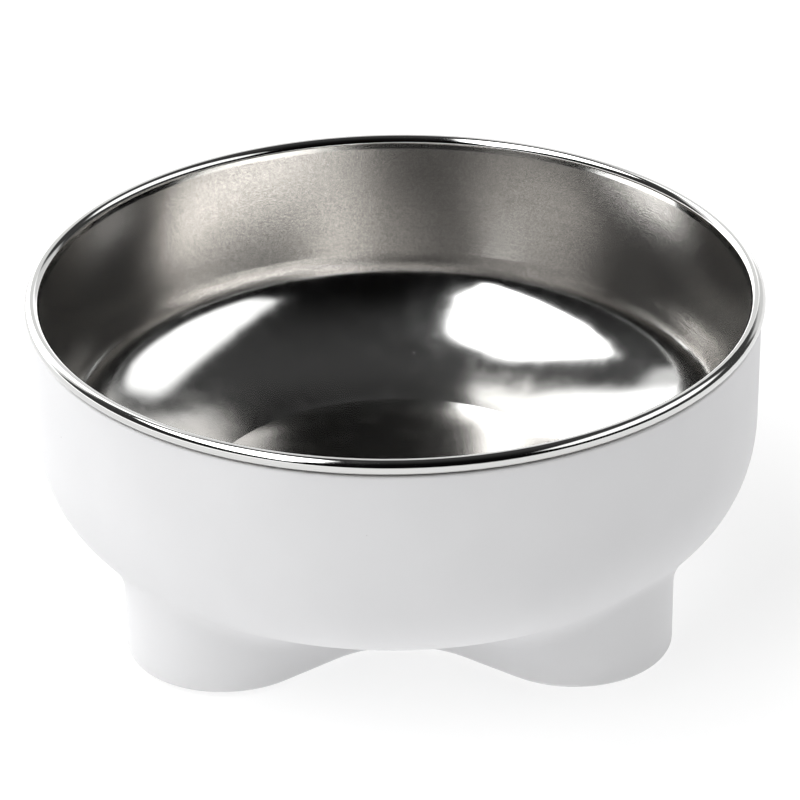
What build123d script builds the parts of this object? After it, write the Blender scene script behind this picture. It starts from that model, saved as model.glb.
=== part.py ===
from build123d import *
from math import cos, radians, sin, sqrt, tan
import os

# A shaving lather bowl: a pressed steel liner with a rolled rim, hung in a moulded outer shell
# that stands on four stubby feet. Millimetres, +Z up. The origin is on the table, on the bowl's axis.

# ---- driving dimensions ----
rim_radius = 62.5            # outside of the rolled rim
rim_height = 53.0            # top of the rolled rim above the table
bead_radius = 1.25           # outside radius of the rolled rim's own round section
sheet = 0.5                  # thickness of the liner's sheet
curl_end_angle = -120.0      # where the roll stops, just short of the wall; 0 is straight out
liner_taper = 2.0            # degrees the liner wall leans in, going down
corner_top = 30.0            # height where the liner wall starts to curve into its floor
corner_pull = 10.0           # how far the wall's direction is held into that curve
floor_pull = 12.0            # the same, held out from the floor
floor_radius = 35.0          # flat middle of the liner floor, up to the crease round it
floor_height = 12.0          # top face of the liner floor
crease = 15.0                # degrees the sheet turns up at that crease

shell_radius = 61.9          # outside of the shell's upright wall
belly_top = 31.1             # height where the upright wall starts to curve under
belly_pull = 27.4            # how far the wall's direction is held into that curve
keel_pull = 19.3             # the same, held out from the flat underside
keel_radius = 11.9           # flat middle of the bowl's underside
keel_height = 9.4            # underside of the bowl above the table
wall = 1.8                   # thickness of the moulding
lip_gap = 0.25               # open line between the rolled rim and the shell's lip
lip_clearance = 0.35         # between the liner's wall and the lip
lip_round = 0.4              # rounding of the lip's outer edge

foot_circle = 41.1           # axis of the bowl to the centre of each foot
foot_radius = 16.8           # round outer end of each foot
foot_splay = 8.1             # degrees each flank opens, going towards the axis
valley_radius = 17.3         # hollow round between two neighbouring feet
blend_radius = 4.5           # soft corner where the feet run into the bowl
plinth_sunk = 6.0            # how far under belly_top the feet end, inside the bowl's wall
foot_edge = 0.8              # rounding of the feet's bottom edge
inner_edge = 1.5             # the same inside the feet
foot_wall = 2.4              # thickness of the feet's floor
pad_drop = 0.7               # how far the pads hold the feet off the table

seal_cord = 0.38             # radius of the seal ring's round section
touch = 0.02                 # gap left between the seal and each face that it touches

pad_radius = 10.0
pad_seat = 0.9               # depth of the seat in the foot's floor that takes a pad
pad_edge = 0.4
pad_clearance = 0.1
stem_radius = 2.0
stem_clearance = 0.08
barb_radius = 3.1
barb_tip_radius = 1.4
barb_length = 2.8
groove_radii = (4.6, 7.2)    # middle of each ring groove in a pad's sole
groove_width = 0.9
groove_depth = 0.4

panel_radius = 21.0          # shallow round panel in the middle of the underside
panel_depth = 0.6

# Each curve's handles change by these shares of an offset, which keeps a wall's thickness even.
corner_share = 1.10
floor_share = -0.60
belly_share = 1.19
keel_share = 0.53

# ---- sizes that follow ----
bead_centre = rim_radius - bead_radius
bead_level = rim_height - bead_radius
liner_outside = bead_centre - bead_radius + sheet       # outside of the liner's wall at the rim
lip_top = rim_height - 2 * bead_radius - lip_gap
lip_bore = liner_outside + lip_clearance
seal_radius = liner_outside + seal_cord + touch
seal_reach = bead_radius + seal_cord + touch            # rolled rim's centre to the seal's
seal_level = bead_level - sqrt(seal_reach ** 2 - (bead_centre - seal_radius) ** 2)
seat_level = seal_level - seal_cord - touch
seat_bore = seal_radius + seal_cord + touch
foot_floor = pad_drop + foot_wall                       # inside face of the feet's floor
plinth_top = belly_top - plinth_sunk
quarter = 90                                            # degrees from one foot to the next
foot_names = ("rear_right", "rear_left", "front_left", "front_right")
foot_angles = {name: quarter * (turn + 0.5) for turn, name in enumerate(foot_names)}
upward = (Align.CENTER, Align.CENTER, Align.MIN)        # a shape stands on the level that it is put at


def ring_point(radius, degrees, middle=(0.0, 0.0)):
    """The point at that radius and angle round a middle."""
    return (middle[0] + radius * cos(radians(degrees)), middle[1] + radius * sin(radians(degrees)))


def wall_line(level, grow):
    """Radius of the liner's wall at a height, on its tapered straight part, grow outside its inside face."""
    lean = radians(liner_taper)
    start_radius = bead_centre - (bead_radius - grow) * cos(lean)
    start_level = bead_level + (bead_radius - grow) * sin(lean)
    return start_radius - (start_level - level) * tan(lean)


def sheet_face(grow):
    """The liner's section line from its axis to the end of the curl, grow outside its inside face."""
    lean = radians(liner_taper)
    middle = (bead_centre, bead_level)
    curl = bead_radius - grow
    floor_end = (floor_radius + grow * tan(radians(crease / 2)), floor_height - grow)
    wall_foot = (wall_line(corner_top, grow), corner_top)
    pull = corner_pull + corner_share * grow
    held_wall = (wall_foot[0] - pull * sin(lean), corner_top - pull * cos(lean))
    held_floor = ring_point(floor_pull + floor_share * grow, crease, floor_end)
    curl_start = ring_point(curl, 180 - liner_taper, middle)
    curl_middle = ring_point(curl, (180 - liner_taper + curl_end_angle) / 2, middle)
    return [
        Line((0, floor_end[1]), floor_end),
        Bezier(floor_end, held_floor, held_wall, wall_foot),
        Line(wall_foot, curl_start),
        ThreePointArc(curl_start, curl_middle, ring_point(curl, curl_end_angle, middle)),
    ]


def steel_liner():
    """One pressed sheet: flat floor, swept corner, tapered wall and a rim rolled outward and down."""
    inside = sheet_face(0)
    outside = sheet_face(sheet)
    close = [
        Line(inside[-1] @ 1, outside[-1] @ 1),
        Line(inside[0] @ 0, outside[0] @ 0),
    ]
    section = Plane.XZ * make_face(inside + outside + close)
    return revolve(section, Axis.Z)


def lobed_outline(inset):
    """Plan outline of the feet and the hollows between them, moved in by inset all the way round."""
    lobe = foot_radius - inset
    valley = valley_radius + inset
    lean = radians(foot_splay)
    facing = (sin(lean), cos(lean))                     # outward direction of a flank
    flank_offset = foot_circle * facing[0] + foot_radius
    valley_centre = (valley_radius + flank_offset) / cos(radians(quarter / 2) - lean)
    edges = []
    for angle in foot_angles.values():
        middle = ring_point(foot_circle, angle)
        flank_angle = quarter - foot_splay
        left = ring_point(lobe, angle + flank_angle, middle)
        right = ring_point(lobe, angle - flank_angle, middle)
        outer = ring_point(lobe, angle, middle)
        hollow = ring_point(valley_centre, angle + quarter / 2)
        next_hollow = ring_point(valley_centre, angle - quarter / 2)
        left_end = ring_point(valley, angle + flank_angle + 180, hollow)
        right_end = ring_point(valley, angle - flank_angle + 180, next_hollow)
        far_end = ring_point(valley, angle + foot_splay + 180, hollow)
        deepest = ring_point(valley_centre - valley, angle + quarter / 2)
        edges.append(ThreePointArc(right, outer, left))
        edges.append(Line(left, left_end))
        edges.append(Line(right, right_end))
        edges.append(ThreePointArc(left_end, deepest, far_end))
    return make_face(edges)


def bowl_outline(inset, top, top_radius):
    """Half section of the shell's bowl, moved in by inset, up to a top edge of its own radius."""
    radius = shell_radius - inset
    level = keel_height + inset
    held_keel = (keel_radius + keel_pull + keel_share * inset, level)
    held_belly = (radius, belly_top - belly_pull + belly_share * inset)
    edges = [
        Line((0, level), (keel_radius, level)),
        Bezier((keel_radius, level), held_keel, held_belly, (radius, belly_top)),
        Line((radius, belly_top), (top_radius, top)),
        Line((top_radius, top), (0, top)),
        Line((0, top), (0, level)),
    ]
    return make_face(edges)


def bowl_and_feet(inset, top, top_radius, foot_level, edge_round, blend):
    """The bowl and its four-lobed plinth as one solid, with a soft corner where they meet."""
    bowl = revolve(Plane.XZ * bowl_outline(inset, top, top_radius), Axis.Z)
    plinth = extrude(Pos(0, 0, foot_level) * lobed_outline(inset), plinth_top - foot_level)
    plinth = fillet(plinth.edges().group_by(Axis.Z)[0], edge_round)
    joined = bowl + plinth
    known = bowl.edges() + plinth.edges()
    meeting = [edge for edge in joined.edges()
               if keel_height < edge.center().Z < plinth_top and edge not in known]
    return fillet(meeting, blend)


def outer_shell():
    """The moulding: a thin upright lip, a swept belly and four hollow feet with one shared floor."""
    outside = bowl_and_feet(0, lip_top, shell_radius, pad_drop, foot_edge, blend_radius)
    outside = fillet(outside.edges().group_by(Axis.Z)[-1], lip_round)
    inside = bowl_and_feet(wall, lip_top, lip_bore, foot_floor, inner_edge, blend_radius + wall)
    seat = Pos(0, 0, seat_level) * Cylinder(seat_bore, lip_top - seat_level, align=upward)
    shell = outside - inside - seat
    for x, y in foot_centres():
        shell -= Pos(x, y, pad_drop) * Cylinder(pad_radius + pad_clearance, pad_seat, align=upward)
        shell -= Pos(x, y, 0) * Cylinder(stem_radius + stem_clearance, 2 * foot_floor, align=upward)
    panel = Pos(0, 0, pad_drop) * Cylinder(panel_radius, panel_depth, align=upward)
    return shell - panel


def rim_seal():
    """A soft ring of round cord, held in the lip's seat, that the rolled rim rests on."""
    return Pos(0, 0, seal_level) * Torus(seal_radius, seal_cord)


def foot_pad(x, y):
    """A soft pad with ring grooves in its sole, held by a barbed stem through the foot's floor."""
    pad = Cylinder(pad_radius, pad_drop + pad_seat, align=upward)
    pad = fillet(pad.edges().group_by(Axis.Z)[0], pad_edge)
    for radius in groove_radii:
        groove = Cylinder(radius + groove_width / 2, groove_depth, align=upward)
        pad -= groove - Cylinder(radius - groove_width / 2, groove_depth, align=upward)
    barb_level = foot_floor + touch
    stem = Cylinder(stem_radius, barb_level, align=upward)
    barb = Pos(0, 0, barb_level) * Cone(barb_radius, barb_tip_radius, barb_length, align=upward)
    return Pos(x, y, 0) * (pad + stem + barb)


def foot_centres():
    """Plan position of each foot's centre, in the order of their names."""
    return [ring_point(foot_circle, angle) for angle in foot_angles.values()]


os.makedirs("parts", exist_ok=True)
export_step(steel_liner(), "parts/steel_liner.step")
export_step(outer_shell(), "parts/outer_shell.step")
export_step(rim_seal(), "parts/rim_seal.step")
for name, (x, y) in zip(foot_angles, foot_centres()):
    export_step(foot_pad(x, y), f"parts/foot_pad_{name}.step")
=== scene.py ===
import bpy
from math import cos, radians, sin
from mathutils import Matrix, Vector


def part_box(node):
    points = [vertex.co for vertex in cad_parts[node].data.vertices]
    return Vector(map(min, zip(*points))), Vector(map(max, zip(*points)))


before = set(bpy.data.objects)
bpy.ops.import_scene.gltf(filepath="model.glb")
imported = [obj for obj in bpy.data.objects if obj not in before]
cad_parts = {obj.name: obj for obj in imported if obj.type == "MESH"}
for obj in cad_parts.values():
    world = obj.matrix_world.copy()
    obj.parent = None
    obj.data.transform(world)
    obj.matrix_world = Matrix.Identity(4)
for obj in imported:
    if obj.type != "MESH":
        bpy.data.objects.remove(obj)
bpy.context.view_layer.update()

# A steel-lined lather bowl, seen from a little above its rim, in a plain white studio.
# Metres, +Z up, the origin on the table under the bowl's axis, -Y towards the camera.

MM = 0.001

# ---- the bowl ----
RIM_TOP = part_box("steel_liner")[1].z
PADS = [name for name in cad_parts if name.startswith("foot_pad")]
POLISH_TOP = 26.4 * MM          # the polished bowl floor ends here and the blasted wall starts
POLISH_EDGE = 0.5 * MM          # how gradually it does
EDGE_WANDER = 0.4 * MM          # how far that edge wanders up and down
RIM_POLISH = 1.9 * MM           # the rolled rim is polished down to this far under its top
RIM_EDGE = 0.4 * MM
CURL_DEPTH = 2.7 * MM           # the rolled rim's whole height, with some to spare
WALL_RADIUS = 50 * MM           # a typical distance of the liner's wall from the axis

# ---- surfaces: (low, high) pairs are the ends of a range that noise moves between ----
SATIN_GRAIN = 0.42 * MM         # size of the blasted grain
SATIN_LINE = 0.35 * MM          # spacing of the faint spinning lines
SATIN_LINE_RUN = 16 * MM        # how far each of them runs on round the bowl
SATIN_ROUGH = (0.19, 0.205)
SATIN_STRETCH = 0.3             # how much its highlights are drawn out
OUTSIDE_EXTRA_ROUGH = 0.12      # the liner's outside is duller by this much
FLOOR_ROUGH = (0.10, 0.15)
RIM_ROUGH = (0.06, 0.09)
SATIN_STEEL = (0.655, 0.635, 0.612, 1.0)
POLISHED_STEEL = (0.66, 0.66, 0.65, 1.0)
DUST_SPOT = (7 * MM, 0.09 * MM)     # spacing and radius
DUST_GREY = 0.8

SHELL_WHITE = ((0.77, 0.77, 0.78, 1), (0.795, 0.795, 0.805, 1))
SHELL_TEXTURE = 0.35 * MM
SHELL_ROUGH = (0.42, 0.52)
SHELL_SPECK = (8 * MM, 0.13 * MM)   # spacing and radius
SPECK_COLOUR = (0.35, 0.34, 0.33, 1)
FOOT_GREY_HEIGHT = 6 * MM          # the feet are a little greyer below this
FOOT_GREY_COLOUR = (0.5, 0.49, 0.47, 1)

SEAL_BLACK = (0.03, 0.03, 0.032, 1)
PAD_GREY = (0.075, 0.075, 0.078, 1)
RUBBER_DUST = (0.42, 0.41, 0.39, 1)
RUBBER_SKIN = 0.3 * MM
RUBBER_ROUGH = (0.62, 0.8)

# ---- the camera: a long lens, in degrees and metres ----
CAMERA_TURN = -0.255            # round the bowl's axis
CAMERA_RISE = 26.391            # above the rim's plane
CAMERA_AWAY = 609.4 * MM        # from the middle of the rim
CAMERA_ROLL = -0.681
CAMERA_AIM = (0.64 * MM, 0, 30.54 * MM)
LENS = 162.16                   # focal length and sensor width, in millimetres
SENSOR = 36.0
CLIP = (0.05, 20.0)

# ---- the studio ----
BACKDROP = 1.05                 # what the camera sees past the floor
FLOOR_GLOW = 0.69
FLOOR_HALF = 3.0                # half the floor's side
LOW_LIGHT = (1.9, 0.05)         # just above the horizon, on the far left and on the far right
ROOM_LIGHT = (0.003, 0.06)      # the dark room itself, on the camera's side and behind the bowl

# Panels of light: corners in order as (azimuth, elevation) in degrees, then level and edge softness.
PANELS = (
    # the main one, high on the left, from beside the camera to behind the bowl
    (((-33, 24), (-27, 50), (-72, 80), (-132, 78), (-144, 66), (-111, 47), (-90, 43), (-72, 40)),
     4.8, 0.06),
    # a dimmer one on the right
    (((138, 44), (90, 59), (73, 55), (44, 44), (52, 26), (81, 25), (108, 26), (125, 31)),
     1.75, 0.12),
    # a pale wall behind the bowl, and two overlapping panels that light its left and right parts more
    (((-117, -4), (-117, 31), (-142, 54), (-165, 58), (180, 46), (160, 38), (141, 28), (141, -4)),
     0.9, 0.10),
    (((-125, -4), (-125, 20), (-138, 45), (-152, 54), (-162, 50), (-160, -4)), 2.2, 0.14),
    (((132, -4), (134, 20), (150, 26), (172, 28), (174, -4)), 0.8, 0.12),
)


# ---------------------------------------------------------------- node helpers

class Nodes:
    """Short calls that add one node each to a node tree and return its output."""

    def __init__(self, tree):
        self.tree = tree
        tree.nodes.clear()

    def add(self, kind, inputs=(), output=0, **settings):
        node = self.tree.nodes.new(kind)
        for name, value in settings.items():
            setattr(node, name, value)
        for key, value in dict(inputs).items():
            self.feed(node.inputs[key], value)
        return node.outputs[output]

    def feed(self, socket, value):
        if isinstance(value, bpy.types.NodeSocket):
            self.tree.links.new(value, socket)
        else:
            socket.default_value = value

    def show(self, kind, surface):
        node = self.tree.nodes.new(kind)
        self.feed(node.inputs["Surface"], surface)

    def show_principled(self, **inputs):
        """The finished surface; input names are written with _ for each space."""
        named = {name.replace("_", " "): value for name, value in inputs.items()}
        self.show("ShaderNodeOutputMaterial", self.add("ShaderNodeBsdfPrincipled", named))

    def math(self, operation, *values):
        return self.add("ShaderNodeMath", dict(enumerate(values)), operation=operation)

    def plus(self, *values):
        total = values[0]
        for value in values[1:]:
            total = self.math("ADD", total, value)
        return total

    def times(self, *values):
        product = values[0]
        for value in values[1:]:
            product = self.math("MULTIPLY", product, value)
        return product

    def vector(self, operation, *values, output=0):
        return self.add("ShaderNodeVectorMath", dict(enumerate(values)), output, operation=operation)

    def dot(self, a, b):
        return self.vector("DOT_PRODUCT", a, b, output="Value")

    def split(self, vector):
        node = self.tree.nodes.new("ShaderNodeSeparateXYZ")
        self.feed(node.inputs[0], vector)
        return node.outputs[0], node.outputs[1], node.outputs[2]

    def ramp(self, value, low, high, to_low=0.0, to_high=1.0):
        """A smooth step between two values of the input."""
        inputs = {"Value": value, "From Min": low, "From Max": high, "To Min": to_low, "To Max": to_high}
        return self.add("ShaderNodeMapRange", inputs, interpolation_type="SMOOTHSTEP")

    def mix(self, share, a, b):
        return self.add("ShaderNodeMix", {0: share, 2: a, 3: b}, data_type="FLOAT")

    def mix_vector(self, share, a, b):
        return self.add("ShaderNodeMix", {0: share, 4: a, 5: b}, 1, data_type="VECTOR")

    def mix_colour(self, share, a, b, blend="MIX"):
        return self.add("ShaderNodeMix", {0: share, 6: a, 7: b}, 2, data_type="RGBA", blend_type=blend)

    def shaded(self, colour, level):
        """A colour multiplied by a grey level."""
        grey_level = self.add("ShaderNodeCombineColor", {0: level, 1: level, 2: level})
        return self.mix_colour(1.0, colour, grey_level, "MULTIPLY")

    def noise(self, where, size, detail=2.0, roughness=0.5):
        """Noise whose features are about size metres across."""
        inputs = {"Vector": where, "Scale": 1 / size, "Detail": detail, "Roughness": roughness}
        return self.add("ShaderNodeTexNoise", inputs)

    def dots(self, where, spacing, radius):
        """Small round spots scattered about spacing metres apart."""
        inputs = {"Vector": where, "Scale": 1 / spacing}
        distance = self.add("ShaderNodeTexVoronoi", inputs, "Distance")
        return self.ramp(distance, 1.25 * radius / spacing, 0.75 * radius / spacing)

    def rings(self, where, spacing, run):
        """Fine lines round the axis, about spacing apart, each running on for about run metres."""
        x, y, z = self.split(where)
        radius = self.math("SQRT", self.plus(self.times(x, x), self.times(y, y)))
        around = self.vector("NORMALIZE", self.add("ShaderNodeCombineXYZ", {0: x, 1: y}))
        slow = self.add("ShaderNodeVectorMath", {0: around, "Scale": WALL_RADIUS / run}, operation="SCALE")
        across = self.plus(self.times(z, 1 / spacing), self.times(radius, 0.8 / spacing))
        inputs = {"Vector": slow, "W": across, "Scale": 1.0, "Detail": 2.0, "Roughness": 0.6}
        return self.add("ShaderNodeTexNoise", inputs, noise_dimensions="4D")

    def bump(self, height, depth, strength):
        return self.add("ShaderNodeBump", {"Height": height, "Strength": strength, "Distance": depth})


def new_material(name):
    material = bpy.data.materials.new(name)
    material.use_nodes = True
    n = Nodes(material.node_tree)
    where = n.add("ShaderNodeTexCoord", output="Object")
    return material, n, where


def grey(level):
    return (level, level, level, 1.0)


# ---------------------------------------------------------------- materials

def liner_zones(n, where):
    """Shares from 0 to 1: satin sheet, the satin on the liner's outside, and the rolled rim."""
    height = n.split(where)[2]
    wander = n.times(n.plus(n.noise(where, 9 * MM, detail=1), -0.5), EDGE_WANDER)
    edge = n.plus(height, wander)
    above_floor = n.ramp(edge, POLISH_TOP - POLISH_EDGE, POLISH_TOP + POLISH_EDGE)
    below_rim = n.ramp(edge, RIM_TOP - RIM_POLISH, RIM_TOP - RIM_POLISH - RIM_EDGE)
    face = n.add("ShaderNodeNewGeometry", output="True Normal")
    outward = n.dot(face, n.vector("SUBTRACT", where, (0, 0, RIM_TOP)))
    below_curl = n.ramp(height, RIM_TOP - CURL_DEPTH, RIM_TOP - CURL_DEPTH - RIM_EDGE)
    outside = n.times(n.math("GREATER_THAN", outward, 0.0), below_curl)
    satin = n.math("MAXIMUM", n.times(above_floor, below_rim), outside)
    rim = n.ramp(height, RIM_TOP - CURL_DEPTH, RIM_TOP - RIM_POLISH)
    return satin, outside, rim


def liner_steel():
    """Stainless sheet: polished rim and floor, fine satin wall between them, duller satin outside."""
    material, n, where = new_material("liner_steel")
    satin, outside, rim = liner_zones(n, where)
    lines = n.rings(where, SATIN_LINE, SATIN_LINE_RUN)
    grain = n.noise(where, SATIN_GRAIN, detail=4, roughness=0.7)
    cloud = n.noise(where, 12 * MM, detail=3)
    smear = n.noise(where, 5 * MM, detail=4, roughness=0.6)
    dust = n.times(n.dots(where, *DUST_SPOT), 0.5)

    satin_rough = n.plus(n.ramp(cloud, 0.3, 0.7, *SATIN_ROUGH), n.times(outside, OUTSIDE_EXTRA_ROUGH))
    floor_rough = n.ramp(smear, 0.35, 0.75, *FLOOR_ROUGH)
    rim_rough = n.ramp(smear, 0.35, 0.75, *RIM_ROUGH)
    rough = n.mix(satin, n.mix(rim, floor_rough, rim_rough), satin_rough)

    satin_bump = n.bump(n.plus(n.times(grain, 0.7), n.times(lines, 0.3)), 0.03 * MM, 0.8)
    polish_bump = n.bump(n.plus(n.noise(where, 6 * MM, detail=1), n.times(lines, 0.06)), 0.01 * MM, 0.6)

    speckle = n.plus(n.ramp(grain, 0.3, 0.7, 0.8, 1.08), n.ramp(lines, 0.3, 0.7, -0.03, 0.03))
    shade = n.mix_colour(satin, POLISHED_STEEL, n.shaded(SATIN_STEEL, speckle))

    n.show_principled(
        Base_Color=n.mix_colour(dust, shade, grey(DUST_GREY)),
        Metallic=n.math("SUBTRACT", 1.0, dust),
        Roughness=n.mix(dust, rough, 0.8),
        Normal=n.mix_vector(satin, polish_bump, satin_bump),
        Anisotropic=n.times(satin, SATIN_STRETCH),
        Anisotropic_Rotation=0.25,
        Tangent=n.add("ShaderNodeTangent", direction_type="RADIAL", axis="Z"),
    )
    return material


def shell_plastic():
    """White moulded plastic with a fine spark-eroded texture, a few specks, and feet that turn blotchily
    greyer and duller towards the bottom.
    """
    material, n, where = new_material("shell_plastic")
    height = n.split(where)[2]
    texture = n.noise(where, SHELL_TEXTURE, detail=3, roughness=0.6)
    flow = n.noise(where, 22 * MM, detail=2)
    # blotches that grow towards the feet's bottom; they grey the colour and raise the roughness there
    near_ground = n.times(n.ramp(height, FOOT_GREY_HEIGHT, 0.5 * MM), n.noise(where, 3 * MM, detail=4))
    specks = n.dots(where, *SHELL_SPECK)
    colour = n.mix_colour(n.ramp(flow, 0.3, 0.7), *SHELL_WHITE)
    # the feet turn a little greyer towards the bottom
    colour = n.mix_colour(n.times(near_ground, 0.16), colour, FOOT_GREY_COLOUR)
    colour = n.mix_colour(n.times(specks, 0.6), colour, SPECK_COLOUR)
    n.show_principled(
        Base_Color=colour,
        Roughness=n.plus(n.ramp(texture, 0.3, 0.7, *SHELL_ROUGH), n.times(near_ground, 0.15)),
        IOR=1.5,
        Normal=n.bump(texture, 0.05 * MM, 0.35),
    )
    return material


def rubber(name, colour, bloom):
    """Soft moulded rubber: dull, faintly mottled, and dusty by the share given in bloom."""
    material, n, where = new_material(name)
    skin = n.noise(where, RUBBER_SKIN, detail=3, roughness=0.6)
    dust = n.noise(where, 2.4 * MM, detail=5, roughness=0.65)
    n.show_principled(
        Base_Color=n.mix_colour(n.ramp(dust, 0.5, 0.72, 0.0, bloom), colour, RUBBER_DUST),
        Roughness=n.ramp(skin, 0.3, 0.7, *RUBBER_ROUGH),
        Normal=n.bump(skin, 0.04 * MM, 0.4),
    )
    return material


def pale_floor():
    """The plain floor: white acrylic, lit a little from below, so that shadows on it stay light."""
    material, n, where = new_material("pale_floor")
    tooth = n.noise(where, 0.8 * MM, detail=3)
    n.show_principled(
        Base_Color=n.mix_colour(tooth, grey(0.34), grey(0.36)),
        Roughness=0.8,
        Specular_IOR_Level=0.2,
        Emission_Color=grey(1.0),
        Emission_Strength=FLOOR_GLOW,
    )
    return material


def dress(names, material):
    for name in names:
        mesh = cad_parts[name].data
        mesh.materials.clear()
        mesh.materials.append(material)


# ---------------------------------------------------------------- studio

def towards(azimuth, elevation):
    """Unit direction; azimuth 0 is the side the camera is on, 90 is +X, in degrees."""
    a, e = radians(azimuth), radians(elevation)
    return Vector((sin(a) * cos(e), -cos(a) * cos(e), sin(e)))


def panel(n, look, corners, level, soft):
    """Light inside the polygon of great circles through these corners."""
    directions = [towards(*corner) for corner in corners]
    middle = sum(directions, Vector()).normalized()
    light = level
    for a, b in zip(directions, directions[1:] + directions[:1]):
        side = a.cross(b).normalized()
        if side.dot(middle) < 0:
            side = -side
        light = n.times(light, n.ramp(n.dot(look, side), -soft / 2, soft / 2))
    return light


def studio():
    """A dark room round a white floor, with panels of light; the camera itself sees plain white."""
    world = bpy.data.worlds.new("studio")
    bpy.context.scene.world = world
    world.use_nodes = True
    n = Nodes(world.node_tree)
    look = n.vector("NORMALIZE", n.add("ShaderNodeTexCoord", output="Generated"))
    across, forward, rise = n.split(look)

    lights = [panel(n, look, *settings) for settings in PANELS]
    low_light = n.times(n.ramp(rise, 0.15, 0.05), n.ramp(across, -0.9, 0.9, *LOW_LIGHT))
    room_light = n.ramp(forward, -0.7, 0.5, *ROOM_LIGHT)
    light = n.plus(*lights, low_light, room_light)
    camera_looks = n.add("ShaderNodeLightPath", output="Is Camera Ray")
    inputs = {"Color": grey(1.0), "Strength": n.mix(camera_looks, light, BACKDROP)}
    n.show("ShaderNodeOutputWorld", n.add("ShaderNodeBackground", inputs))
    world.cycles.sampling_method = "MANUAL"
    world.cycles.sample_map_resolution = 1024


def floor():
    """A square of pale_floor under the bowl, which isn't part of the object."""
    mesh = bpy.data.meshes.new("floor")
    signs = ((-1, -1), (1, -1), (1, 1), (-1, 1))
    mesh.from_pydata([(x * FLOOR_HALF, y * FLOOR_HALF, 0) for x, y in signs], [], [(0, 1, 2, 3)])
    mesh.materials.append(pale_floor())
    plane = bpy.data.objects.new("floor", mesh)
    bpy.context.scene.collection.objects.link(plane)


def camera():
    """The camera, aimed near the middle of the bowl and rolled a little."""
    data = bpy.data.cameras.new("camera")
    data.lens = LENS
    data.sensor_width = SENSOR
    data.clip_start, data.clip_end = CLIP
    eye = Vector((0, 0, RIM_TOP)) + towards(CAMERA_TURN, CAMERA_RISE) * CAMERA_AWAY
    turn = (Vector(CAMERA_AIM) - eye).to_track_quat("-Z", "Y").to_matrix().to_4x4()
    shot = bpy.data.objects.new("camera", data)
    bpy.context.scene.collection.objects.link(shot)
    shot.matrix_world = Matrix.Translation(eye) @ turn @ Matrix.Rotation(radians(CAMERA_ROLL), 4, "Z")
    bpy.context.scene.camera = shot


dress(["steel_liner"], liner_steel())
dress(["outer_shell"], shell_plastic())
dress(["rim_seal"], rubber("seal_rubber", SEAL_BLACK, 0.15))
dress(PADS, rubber("pad_rubber", PAD_GREY, 0.35))
studio()
floor()
camera()
bpy.context.scene.view_settings.view_transform = "Standard"
